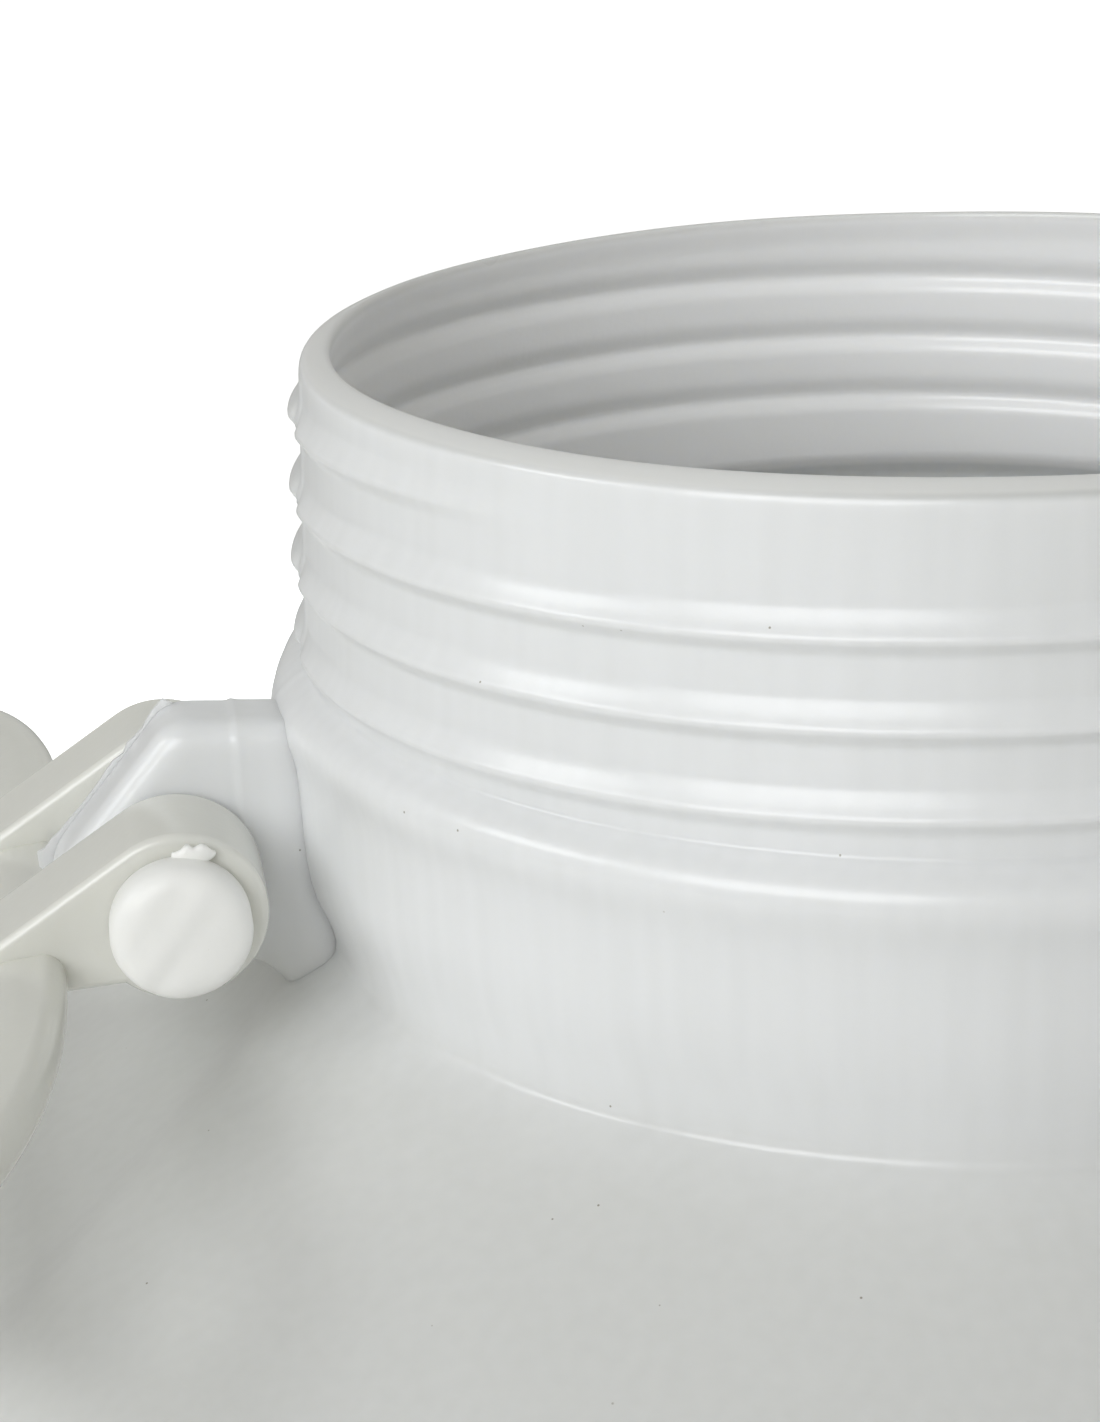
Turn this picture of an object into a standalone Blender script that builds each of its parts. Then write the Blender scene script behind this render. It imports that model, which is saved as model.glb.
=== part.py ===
"""Wide-mouth plastic drum, open and empty, with two hinged carrying handles.

The drum is one blow-moulded shell. Its neck carries a right-handed screw thread
that shows as ridges outside and as grooves inside. Two ears are moulded on at
the sides of the neck, and a looped handle swings on a round-headed pin through
each of them. The sloping shoulder has a fan-shaped recess under each handle.

Units are metres, +Z is up, the origin is the middle of the base on the floor.
The ears stand on the X axis. Depths are measured down from the rim's outer edge.
The rim's inner edge stands a little higher than its outer one.
"""
import math

import bmesh
import bpy
from mathutils import Matrix, Vector

MM = 0.001

# Driving sizes of the whole drum
HEIGHT = 520 * MM
NECK_RADIUS = 100 * MM
LIP_RISE = 1.3 * MM
BODY_RADIUS = 190 * MM
NECK_DEPTH = 91.3 * MM
SHOULDER_SLOPE = 0.45
SHOULDER_ROUND = 50 * MM
BASE_ROUND = 28 * MM
FOOT_RADIUS = 160 * MM
FOOT_WIDTH = 12 * MM
BASE_RISE = 4 * MM

# Wall thicknesses of the shell
NECK_WALL = 4.4 * MM
BODY_WALL = 3.4 * MM
BASE_WALL = 5 * MM

# Screw thread on the neck
THREAD_PITCH = 11.8 * MM
THREAD_HEIGHT = 2.1 * MM
GROOVE_DEPTH = 1.9 * MM
THREAD_TOP = 4 * MM
THREAD_BOTTOM = 47.5 * MM
THREAD_FIRST_DEPTH = 5.1 * MM
THREAD_START_TURN = 0.11
THREAD_TURNS = 3.36
THREAD_FADE = 0.12
RIDGE_ROWS = ((-0.30, 0.0), (-0.04, 1.0), (0.05, 0.9), (0.17, 0.0))
GROOVE_ROWS = ((-0.26, 0.0), (0.0, 1.0), (0.20, 0.0))
ROOT_TOP = 100.2 * MM
ROOT_BOTTOM = 102.2 * MM

# Collar bead under the thread and the plain neck below it
BEAD_RADIUS = 106.8 * MM
BEAD_DEPTH = 52.5 * MM
NECK_LOW_RADIUS = 105.1 * MM
NECK_BASE_RADIUS = 101.9 * MM

# Fan-shaped recess in the shoulder under each handle
RECESS_DEPTH = 9 * MM
RECESS_WALL = 15 * MM
RECESS_START_HALF_WIDTH = 12 * MM
RECESS_SPREAD = 0.97
RECESS_START_RADIUS = 102 * MM
RECESS_FULL_RADIUS = 124 * MM
RECESS_FADE_RADIUS = 164 * MM
RECESS_END_RADIUS = 186 * MM
RECESS_LIMIT_DEPTH = 200 * MM

# Ear with its hinge pin
PIN_REACH = 125.5 * MM
PIN_DEPTH = 73.7 * MM
EAR_THICKNESS = 25 * MM
EAR_EDGE_ROUND = 3.5 * MM
EAR_ROOT = 103 * MM
EAR_FAR_HALF_DROP = 0.42
EAR_DROP_START = -4 * MM
EAR_DROP_BLEND = 8 * MM
SHAFT_RADIUS = 5.5 * MM
BORE_RADIUS = 6 * MM
HEAD_RADIUS = 10.5 * MM
HEAD_THICKNESS = 8 * MM
SNAP_RADIUS = 7.6 * MM
SNAP_LENGTH = 5 * MM

# Handle, in its hinge's own frame with the pin at the origin
ARM_INNER = 13 * MM
ARM_THICKNESS = 18 * MM
BOSS_RADIUS = 13.3 * MM
ARM_FALL = math.radians(32.5)
ARM_EDGE_ROUND = 1.8 * MM
LOOP_START = 17.5 * MM
LOOP_DROP = 6.4 * MM
LOOP_TILT = math.radians(12)
LOOP_HALF_WIDTH = 104 * MM
LOOP_STRAIGHT_HALF = 38 * MM
LOOP_DEPTH = 64 * MM
BAR_WIDTH = 15 * MM
BAR_THICKNESS = 9 * MM
GRIP_THICKNESS = 14 * MM
NOTCH_REACH = 19.6 * MM

GAP = 0.3 * MM

COLUMNS = 60
BORE_SIDES = 24
PIN_SIDES = 24
LOOP_STEPS_STRAIGHT = 5
LOOP_STEPS_END = 12
BOSS_STEPS = 14


def smooth_step(value):
    """Rise softly from 0 to 1 while the value goes from 0 to 1."""
    value = min(1.0, max(0.0, value))
    return value * value * (3.0 - 2.0 * value)


def mix(start, end, share):
    """Go from start to end by the share."""
    return start + (end - start) * share


def clear_scene():
    """Remove what a new Blender file holds."""
    for item in list(bpy.data.objects):
        bpy.data.objects.remove(item, do_unlink=True)


def plastic(name, colour, roughness):
    """Make one plain plastic."""
    material = bpy.data.materials.new(name)
    material.use_nodes = True
    shader = material.node_tree.nodes["Principled BSDF"]
    shader.inputs["Base Color"].default_value = (*colour, 1.0)
    shader.inputs["Roughness"].default_value = roughness
    shader.inputs["Metallic"].default_value = 0.0
    return material


def make_object(name, mesh_builder, material=None, cutter=False):
    """Turn a finished bmesh into an object, and set a cutter apart."""
    bmesh.ops.recalc_face_normals(mesh_builder, faces=mesh_builder.faces)
    mesh = bpy.data.meshes.new(name)
    mesh_builder.to_mesh(mesh)
    mesh_builder.free()
    if material is not None:
        mesh.materials.append(material)
    item = bpy.data.objects.new(name, mesh)
    bpy.context.scene.collection.objects.link(item)
    if cutter:
        item.hide_render = True
        item.display_type = "WIRE"
    return item


def shade_round(item, angle_degrees=35):
    """Shade smooth and keep the real edges sharp."""
    item.data.shade_smooth()
    item.data.set_sharp_from_angle(angle=math.radians(angle_degrees))


def combine(item, other, operation):
    """Union with, or cut by, another object."""
    step = item.modifiers.new(operation.title(), "BOOLEAN")
    step.operation = operation
    step.solver = "EXACT"
    step.object = other


# The shell of the drum

def recess_drop(x, y, radius, depth):
    """How far the shoulder is pressed down at a place under the handles."""
    if depth > RECESS_LIMIT_DEPTH:
        return 0.0
    half_width = RECESS_START_HALF_WIDTH + RECESS_SPREAD * (abs(x) - NECK_RADIUS)
    inward = (half_width - abs(y)) / RECESS_WALL
    rise = (radius - RECESS_START_RADIUS) / (RECESS_FULL_RADIUS - RECESS_START_RADIUS)
    fade = (RECESS_END_RADIUS - radius) / (RECESS_END_RADIUS - RECESS_FADE_RADIUS)
    return RECESS_DEPTH * smooth_step(inward) * smooth_step(rise) * smooth_step(fade)


def shell_vertex(builder, radius, depth, column):
    """One point of the shell, with the recess pressed in."""
    angle = 2.0 * math.pi * column / COLUMNS - math.pi
    x = radius * math.sin(angle)
    y = -radius * math.cos(angle)
    low = depth + recess_drop(x, y, radius, depth)
    return builder.verts.new((x, y, HEIGHT - low))


def shell_ring(builder, radius, depth):
    """A closed ring of points."""
    return [shell_vertex(builder, radius, depth, column) for column in range(COLUMNS)]


def skin_rings(builder, first, second):
    """Fill the strip between two rings."""
    for column in range(COLUMNS):
        after = (column + 1) % COLUMNS
        builder.faces.new((first[column], second[column], second[after], first[after]))


def close_ring(builder, ring, depth):
    """Fill a ring with a fan to a middle point."""
    middle = builder.verts.new((0.0, 0.0, HEIGHT - depth))
    for column in range(COLUMNS):
        builder.faces.new((ring[column], middle, ring[(column + 1) % COLUMNS]))


def thread_strength(turn):
    """Full height along the thread, fading out at its two ends."""
    run_in = smooth_step((turn - THREAD_START_TURN) / THREAD_FADE)
    run_out = smooth_step((THREAD_TURNS - turn) / THREAD_FADE)
    return run_in * run_out


def thread_band(builder, top_ring, bottom_ring, inset, relief, rows):
    """Fill the threaded zone with rows of points that climb with the helix."""
    per_turn = len(rows)
    last_row = per_turn * (int((THREAD_BOTTOM - THREAD_TOP) / THREAD_PITCH) + 3)
    snap = 0.05 * THREAD_PITCH
    made = {}

    def point(column, row):
        turn_number, place = divmod(row, per_turn)
        offset, share = rows[place]
        climb = column / COLUMNS - 0.5
        turn = turn_number - climb - 1.0
        depth = THREAD_FIRST_DEPTH + THREAD_PITCH * (turn + offset)
        if depth < THREAD_TOP + snap:
            return top_ring[column]
        if depth > THREAD_BOTTOM - snap:
            return bottom_ring[column]
        if (column, row) not in made:
            down = (depth - THREAD_TOP) / (THREAD_BOTTOM - THREAD_TOP)
            root = mix(ROOT_TOP, ROOT_BOTTOM, down) - inset
            radius = root + relief * share * thread_strength(turn)
            made[column, row] = shell_vertex(builder, radius, depth, column)
        return made[column, row]

    for column in range(COLUMNS):
        after = (column + 1) % COLUMNS
        shift = per_turn if after == 0 else 0
        for row in range(-per_turn, last_row):
            corners = (
                point(column, row),
                point(column, row + 1),
                point(after, row + 1 - shift),
                point(after, row - shift),
            )
            unique = list(dict.fromkeys(corners))
            if len(unique) > 2:
                builder.faces.new(unique)


def cone_depth(radius, below=0.0):
    """Depth of the sloping shoulder at a radius."""
    return NECK_DEPTH + SHOULDER_SLOPE * (radius - NECK_BASE_RADIUS) + below


def arc_points(centre_radius, centre_depth, size, start, end, steps):
    """Points of a turned profile's round, angles counted up from outwards."""
    points = []
    for step in range(steps + 1):
        angle = mix(start, end, step / steps)
        points.append((centre_radius + size * math.cos(angle),
                       centre_depth - size * math.sin(angle)))
    return points


def build_shell(material):
    """The hollow shell with its thread, collar, neck, shoulder, wall and foot."""
    builder = bmesh.new()
    lean = math.pi / 2 - math.atan(SHOULDER_SLOPE)
    arc_centre = BODY_RADIUS - SHOULDER_ROUND
    arc_start = arc_centre + SHOULDER_ROUND * math.cos(lean)
    arc_depth = cone_depth(arc_start) + SHOULDER_ROUND * math.sin(lean)
    base_centre = BODY_RADIUS - BASE_ROUND
    foot_inner = FOOT_RADIUS - FOOT_WIDTH

    lip = [
        (NECK_RADIUS - 4.0 * MM, -LIP_RISE),
        (NECK_RADIUS - 0.9 * MM, -0.1 * MM),
        (NECK_RADIUS, 1.2 * MM),
        (ROOT_TOP, THREAD_TOP),
    ]
    neck = [
        (ROOT_BOTTOM, THREAD_BOTTOM),
        (BEAD_RADIUS - 1.4 * MM, BEAD_DEPTH - 2.0 * MM),
        (BEAD_RADIUS, BEAD_DEPTH),
        (BEAD_RADIUS - 0.8 * MM, BEAD_DEPTH + 3.5 * MM),
        (NECK_LOW_RADIUS, BEAD_DEPTH + 10.0 * MM),
        (NECK_LOW_RADIUS, NECK_DEPTH - 17.0 * MM),
        (NECK_BASE_RADIUS + 0.3 * MM, NECK_DEPTH - 2.6 * MM),
        (NECK_BASE_RADIUS + 2.4 * MM, cone_depth(NECK_BASE_RADIUS + 2.4 * MM, -0.2 * MM)),
    ]
    shoulder = [(radius * MM, cone_depth(radius * MM)) for radius in (110, 119, 129, 140, 150)]
    shoulder += arc_points(arc_centre, arc_depth, SHOULDER_ROUND, lean, 0.0, 5)
    foot = arc_points(base_centre, HEIGHT - BASE_ROUND, BASE_ROUND, 0.0, -math.pi / 2, 4)
    foot += [
        (foot_inner, HEIGHT),
        (foot_inner - 4.0 * MM, HEIGHT - BASE_RISE),
        (foot_inner / 2, HEIGHT - BASE_RISE),
    ]

    inner_lip = NECK_RADIUS - NECK_WALL
    inner_low = NECK_LOW_RADIUS - NECK_WALL
    inner_wall = BODY_RADIUS - BODY_WALL
    cone_below = BODY_WALL / math.sin(lean)
    inner_base = HEIGHT - BASE_RISE - BASE_WALL
    inner_foot_round = BASE_ROUND - BODY_WALL
    inside_bottom = [
        (foot_inner / 2, inner_base),
        (base_centre - 6.0 * MM, inner_base),
    ]
    inside_bottom += arc_points(base_centre, inner_base - inner_foot_round, inner_foot_round,
                                -math.pi / 2, 0.0, 3)[1:]
    inside_shoulder = arc_points(arc_centre, arc_depth, SHOULDER_ROUND - BODY_WALL, 0.0, lean, 5)
    inside_shoulder += [(radius * MM, cone_depth(radius * MM, cone_below))
                        for radius in (150, 140, 129, 119, 110)]
    inside_neck = [
        (NECK_BASE_RADIUS - NECK_WALL + 2.0 * MM, NECK_DEPTH + 2.6 * MM),
        (NECK_BASE_RADIUS - NECK_WALL, NECK_DEPTH - 3.0 * MM),
        (inner_low, NECK_DEPTH - 17.0 * MM),
        (inner_low, BEAD_DEPTH + 7.0 * MM),
        (BEAD_RADIUS - NECK_WALL - 1.0 * MM, BEAD_DEPTH + 1.0 * MM),
        (ROOT_BOTTOM - NECK_WALL, THREAD_BOTTOM),
    ]
    inside_lip = [
        (ROOT_TOP - NECK_WALL, THREAD_TOP),
        (inner_lip - 0.4 * MM, 0.7 * MM - LIP_RISE),
    ]

    def rings(profile):
        return [shell_ring(builder, radius, depth) for radius, depth in profile]

    def skin_all(group):
        for first, second in zip(group, group[1:]):
            skin_rings(builder, first, second)

    upper_outside = rings(lip)
    lower_outside = rings(neck + shoulder + foot)
    lower_inside = rings(inside_bottom + inside_shoulder + inside_neck)
    upper_inside = rings(inside_lip)
    skin_all(upper_outside)
    thread_band(builder, upper_outside[-1], lower_outside[0], 0.0, THREAD_HEIGHT, RIDGE_ROWS)
    skin_all(lower_outside)
    close_ring(builder, lower_outside[-1], HEIGHT - BASE_RISE)
    close_ring(builder, lower_inside[0], inner_base)
    skin_all(lower_inside)
    thread_band(builder, upper_inside[0], lower_inside[-1], NECK_WALL, GROOVE_DEPTH, GROOVE_ROWS)
    skin_all(upper_inside)
    skin_rings(builder, upper_inside[-1], upper_outside[0])
    return make_object("drum", builder, material)


# Plates cut to an outline, for the ears and the arms

def outline_plate(outline, near, far, edge_round):
    """A plate from an outline in X and Z, between two Y places, edges rounded."""
    builder = bmesh.new()
    corners = [builder.verts.new((x, near, z)) for x, z in outline]
    face = builder.faces.new(corners)
    pushed = bmesh.ops.extrude_face_region(builder, geom=[face])
    moved = [item for item in pushed["geom"] if isinstance(item, bmesh.types.BMVert)]
    bmesh.ops.translate(builder, vec=Vector((0.0, far - near, 0.0)), verts=moved)
    bmesh.ops.recalc_face_normals(builder, faces=builder.faces)
    rims = [edge for edge in builder.edges
            if abs(edge.verts[0].co.y - edge.verts[1].co.y) < 1e-6]
    bmesh.ops.bevel(builder, geom=rims, offset=edge_round, segments=2, profile=0.5,
                    affect="EDGES", clamp_overlap=True)
    return builder


def ear_outline():
    """Flat top, steep outer slope, upright end, and the eye round the pin."""
    pin = (PIN_REACH, HEIGHT - PIN_DEPTH)
    around_pin = (
        (-1.1, 23.5),
        (19.0, 0.3),
        (18.9, -12.0),
        (15.0, -16.0),
        (0.0, -16.0),
        (-8.0, -13.0),
        (-11.2, -7.0),
        (-11.2, -1.0),
        (-14.0, 4.6),
    )
    outline = [(pin[0] + x * MM, pin[1] + z * MM) for x, z in around_pin]
    outline.append((EAR_ROOT, pin[1] + 5.2 * MM))
    outline.append((EAR_ROOT, pin[1] + 21.5 * MM))
    return outline


def drop_far_half(builder):
    """Let the ear's back half fall away from the parting line in its middle."""
    geometry = builder.verts[:] + builder.edges[:] + builder.faces[:]
    bmesh.ops.bisect_plane(builder, geom=geometry, plane_co=(0.0, 0.0, 0.0),
                           plane_no=(0.0, 1.0, 0.0))
    for vert in builder.verts:
        above_pin = vert.co.z - (HEIGHT - PIN_DEPTH)
        upper = smooth_step((above_pin - EAR_DROP_START) / EAR_DROP_BLEND)
        vert.co.z -= EAR_FAR_HALF_DROP * max(0.0, -vert.co.y) * upper


def turn_about_z(builder, half_turn):
    """Swing a piece round to the other side of the drum."""
    if half_turn:
        bmesh.ops.rotate(builder, cent=(0.0, 0.0, 0.0), verts=builder.verts,
                         matrix=Matrix.Rotation(math.pi, 3, "Z"))


def build_ear(name, half_turn):
    """One solid ear, before it is fused to the neck."""
    half = EAR_THICKNESS / 2
    builder = outline_plate(ear_outline(), -half, half, EAR_EDGE_ROUND)
    drop_far_half(builder)
    turn_about_z(builder, half_turn)
    return make_object(name, builder, cutter=True)


def build_bore(name, reach, height, half_length):
    """A round cutter along Y for the hinge pin."""
    builder = bmesh.new()
    place = Matrix.Translation((reach, 0.0, height)) @ Matrix.Rotation(math.pi / 2, 4, "X")
    bmesh.ops.create_cone(builder, cap_ends=True, segments=BORE_SIDES, radius1=BORE_RADIUS,
                          radius2=BORE_RADIUS, depth=2 * half_length, matrix=place)
    return make_object(name, builder, cutter=True)


def build_drum(material):
    """The shell with both ears fused on and bored."""
    drum = build_shell(material)
    for side, half_turn in (("right", False), ("left", True)):
        combine(drum, build_ear("ear_" + side, half_turn), "UNION")
    for side, sign in (("right", 1.0), ("left", -1.0)):
        cutter = build_bore("ear_bore_" + side, sign * PIN_REACH, HEIGHT - PIN_DEPTH,
                            EAR_THICKNESS)
        combine(drum, cutter, "DIFFERENCE")
    shade_round(drum)
    return drum


# The handle, modelled with its pin at the origin

def arm_outline():
    """A round eye with an arm that leaves its top and falls to the loop."""
    outline = []
    start = math.pi / 2 - ARM_FALL
    end = 2 * math.pi - math.radians(48)
    for step in range(BOSS_STEPS + 1):
        angle = mix(start, end, step / BOSS_STEPS)
        outline.append((BOSS_RADIUS * math.cos(angle), BOSS_RADIUS * math.sin(angle)))
    reach = 29 * MM
    top = outline[0][1] - (reach - outline[0][0]) * math.tan(ARM_FALL)
    outline.append((18.0 * MM, -10.3 * MM))
    outline.append((reach, -11.6 * MM))
    outline.append((reach, top))
    return outline


def loop_path():
    """Middle line of the loop: two straight bars joined by half ellipses."""
    half = BAR_WIDTH / 2
    near = half
    far = LOOP_DEPTH - half
    middle = (near + far) / 2
    end_reach = LOOP_HALF_WIDTH - half - LOOP_STRAIGHT_HALF
    end_half = (far - near) / 2
    path = []
    for step in range(LOOP_STEPS_STRAIGHT):
        side = mix(-LOOP_STRAIGHT_HALF, LOOP_STRAIGHT_HALF, step / LOOP_STEPS_STRAIGHT)
        path.append((near, side))
    for step in range(LOOP_STEPS_END):
        angle = math.pi * step / LOOP_STEPS_END
        path.append((middle - end_half * math.cos(angle),
                     LOOP_STRAIGHT_HALF + end_reach * math.sin(angle)))
    for step in range(LOOP_STEPS_STRAIGHT):
        side = mix(LOOP_STRAIGHT_HALF, -LOOP_STRAIGHT_HALF, step / LOOP_STEPS_STRAIGHT)
        path.append((far, side))
    for step in range(LOOP_STEPS_END):
        angle = math.pi * step / LOOP_STEPS_END
        path.append((middle + end_half * math.cos(angle),
                     -LOOP_STRAIGHT_HALF - end_reach * math.sin(angle)))
    return path


def bar_section():
    """Cross-section of the loop's bar as shares of half width and half height."""
    return (
        (-1.0, -0.45), (-0.62, -1.0), (0.62, -1.0), (1.0, -0.45),
        (1.0, 0.45), (0.62, 1.0), (-0.62, 1.0), (-1.0, 0.45),
    )


def build_loop():
    """The flat loop that the hand grips, swept round its path."""
    builder = bmesh.new()
    path = [Vector(point) for point in loop_path()]
    middle = LOOP_DEPTH / 2
    tilt = Matrix.Rotation(LOOP_TILT, 3, "Y")
    start = Vector((LOOP_START, 0.0, -LOOP_DROP))
    rings = []
    for index, place in enumerate(path):
        ahead = path[(index + 1) % len(path)] - path[index - 1]
        ahead.normalize()
        outward = Vector((-ahead.y, ahead.x))
        grip = smooth_step((place.x - middle * 0.8) / (middle * 0.8))
        half_height = mix(BAR_THICKNESS, GRIP_THICKNESS, grip) / 2
        ring = []
        for across, up in bar_section():
            flat = place + outward * (across * BAR_WIDTH / 2)
            local = tilt @ Vector((flat.x, flat.y, up * half_height))
            ring.append(builder.verts.new(start + local))
        rings.append(ring)
    for index, ring in enumerate(rings):
        after = rings[(index + 1) % len(rings)]
        for corner in range(len(ring)):
            beside = (corner + 1) % len(ring)
            builder.faces.new((ring[corner], ring[beside], after[beside], after[corner]))
    return builder


def build_notch(name):
    """The cut that lets the ear's end stand between the arms."""
    builder = bmesh.new()
    bmesh.ops.create_cube(builder, size=1.0)
    length = NOTCH_REACH - LOOP_START / 2
    bmesh.ops.scale(builder, verts=builder.verts,
                    vec=(length, 2 * ARM_INNER, 4 * BAR_THICKNESS))
    bmesh.ops.translate(builder, verts=builder.verts,
                        vec=(NOTCH_REACH - length / 2, 0.0, -LOOP_DROP))
    return make_object(name, builder, cutter=True)


def place_on_hinge(item, hinge):
    """Hang an object from its hinge's empty."""
    item.parent = hinge


def build_handle(side, hinge, material):
    """Loop and two arms fused into one piece, notched and bored."""
    handle = make_object("handle_" + side, build_loop(), material)
    place_on_hinge(handle, hinge)
    notch = build_notch("handle_notch_" + side)
    place_on_hinge(notch, hinge)
    combine(handle, notch, "DIFFERENCE")
    for label, near, far in (("near", -ARM_INNER - ARM_THICKNESS, -ARM_INNER),
                             ("far", ARM_INNER, ARM_INNER + ARM_THICKNESS)):
        builder = outline_plate(arm_outline(), near, far, ARM_EDGE_ROUND)
        arm = make_object("handle_arm_" + label + "_" + side, builder, cutter=True)
        place_on_hinge(arm, hinge)
        combine(handle, arm, "UNION")
    bore = build_bore("handle_bore_" + side, 0.0, 0.0, 2 * ARM_THICKNESS + ARM_INNER)
    place_on_hinge(bore, hinge)
    combine(handle, bore, "DIFFERENCE")
    shade_round(handle)
    return handle


def build_pin(side, hinge, material):
    """The hinge pin: a domed round head, a shaft and a smaller snap end."""
    face = ARM_INNER + ARM_THICKNESS + GAP
    crown = face + HEAD_THICKNESS
    tail = -face - SNAP_LENGTH
    profile = [
        (HEAD_RADIUS * 0.55, crown - 0.25 * MM),
        (HEAD_RADIUS * 0.88, crown - 1.2 * MM),
        (HEAD_RADIUS, crown - 3.0 * MM),
        (HEAD_RADIUS, face),
        (SHAFT_RADIUS, face),
        (SHAFT_RADIUS, -face),
        (SNAP_RADIUS, -face),
        (SNAP_RADIUS - 1.8 * MM, tail),
    ]
    builder = bmesh.new()
    rings = []
    for radius, along in profile:
        rings.append([
            builder.verts.new((radius * math.cos(2 * math.pi * step / PIN_SIDES), along,
                               radius * math.sin(2 * math.pi * step / PIN_SIDES)))
            for step in range(PIN_SIDES)
        ])
    for first, second in zip(rings, rings[1:]):
        for step in range(PIN_SIDES):
            after = (step + 1) % PIN_SIDES
            builder.faces.new((first[step], first[after], second[after], second[step]))
    top = builder.verts.new((0.0, crown, 0.0))
    for step in range(PIN_SIDES):
        builder.faces.new((rings[0][step], top, rings[0][(step + 1) % PIN_SIDES]))
    builder.faces.new(rings[-1])
    pin = make_object("pin_" + side, builder, material)
    place_on_hinge(pin, hinge)
    shade_round(pin, 50)
    return pin


def build_hinge(side, half_turn):
    """An empty on the hinge's axis, turned so that its +X points away from the neck."""
    hinge = bpy.data.objects.new("hinge_" + side, None)
    sign = -1.0 if half_turn else 1.0
    hinge.location = (sign * PIN_REACH, 0.0, HEIGHT - PIN_DEPTH)
    hinge.rotation_euler = (0.0, 0.0, math.pi if half_turn else 0.0)
    bpy.context.scene.collection.objects.link(hinge)
    return hinge


def build_all():
    """Make the whole drum."""
    clear_scene()
    drum_plastic = plastic("drum plastic", (0.80, 0.81, 0.80), 0.42)
    handle_plastic = plastic("handle plastic", (0.78, 0.78, 0.73), 0.38)
    pin_plastic = plastic("pin plastic", (0.86, 0.86, 0.82), 0.50)
    build_drum(drum_plastic)
    for side, half_turn in (("right", False), ("left", True)):
        hinge = build_hinge(side, half_turn)
        build_handle(side, hinge, handle_plastic)
        build_pin(side, hinge, pin_plastic)


build_all()
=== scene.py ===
# %% [markdown]
# A wide-mouth plastic drum, dressed for its portrait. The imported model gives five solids:
# the drum, two handles and two hinge pins. This lesson keeps those solids as the frame and
# models what shows over them: the blow-moulded skin with its thread, the ears, the looped
# handles and the round pin heads, all in milky translucent polyethylene.

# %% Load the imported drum
import math

import bpy
import numpy as np
from mathutils import Matrix, Vector


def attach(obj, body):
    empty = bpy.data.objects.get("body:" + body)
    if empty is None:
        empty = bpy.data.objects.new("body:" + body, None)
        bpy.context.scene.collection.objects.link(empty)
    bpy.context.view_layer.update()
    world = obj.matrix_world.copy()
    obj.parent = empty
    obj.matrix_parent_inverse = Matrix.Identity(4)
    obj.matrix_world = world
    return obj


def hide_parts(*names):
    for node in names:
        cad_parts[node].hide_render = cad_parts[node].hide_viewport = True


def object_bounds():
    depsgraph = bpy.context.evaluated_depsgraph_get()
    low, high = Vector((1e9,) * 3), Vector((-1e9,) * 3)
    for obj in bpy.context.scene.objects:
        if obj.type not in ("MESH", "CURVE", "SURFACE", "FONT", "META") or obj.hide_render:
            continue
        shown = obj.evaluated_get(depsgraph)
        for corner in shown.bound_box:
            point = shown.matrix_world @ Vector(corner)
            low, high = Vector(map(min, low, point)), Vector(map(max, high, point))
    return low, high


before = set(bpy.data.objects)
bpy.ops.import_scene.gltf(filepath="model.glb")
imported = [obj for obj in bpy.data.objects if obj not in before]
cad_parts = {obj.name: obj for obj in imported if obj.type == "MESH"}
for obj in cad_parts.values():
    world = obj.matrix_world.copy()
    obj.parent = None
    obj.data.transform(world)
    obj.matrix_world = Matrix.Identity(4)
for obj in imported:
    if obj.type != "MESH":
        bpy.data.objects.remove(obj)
CAD_BOX = [list(corner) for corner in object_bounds()]
bpy.ops.object.select_all(action="DESELECT")
MM = 0.001
print("nodes:", sorted(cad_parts), "box:", CAD_BOX)

# %% [markdown]
# Everything is measured from the neck. Its radius at the rim sets the scale, and depths are
# counted down from the rim's outer edge, because the thread, the collar and the ears all hang
# from that edge. The same sizes made the solids, so the skin lies over them.

# %% Sizes of the drum
LIP_RISE = 1.3 * MM
HEIGHT = CAD_BOX[1][2] - LIP_RISE
NECK_RADIUS = 100 * MM
BODY_RADIUS = CAD_BOX[1][1]
NECK_DEPTH = 91.3 * MM
NECK_BASE_RADIUS = 101.9 * MM
NECK_WALL = 4.4 * MM
BODY_WALL = 3.4 * MM
SHOULDER_SLOPE = 0.45
SHOULDER_ROUND = 50 * MM
BASE_ROUND = 28 * MM
BASE_RISE = 4 * MM
INNER_BASE_DEPTH = HEIGHT - 9 * MM
LEAN = math.pi / 2 - math.atan(SHOULDER_SLOPE)
PIN_REACH = 125.5 * MM
PIN_DEPTH = 73.7 * MM
PIN_HEIGHT = HEIGHT - PIN_DEPTH
print("height", HEIGHT, "body radius", BODY_RADIUS, "pin height", PIN_HEIGHT)

# %% [markdown]
# The photographer stood close, a little above the rim, and looked down on the neck's left
# front. The place and turn of the camera were found by fitting the rim, the thread's
# ridges and the collar, so the ellipses fall where the photo has them. The camera leans a
# little, which is why the last turn is a roll about its own axis.

# %% Camera
CAMERA_PLACE = (-128.95 * MM, -399.94 * MM, HEIGHT + 91.04 * MM)
CAMERA_YAW = -0.16189
CAMERA_PITCH = 0.3527
CAMERA_ROLL = -0.0396
CAMERA_LENS = 68.08

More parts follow.
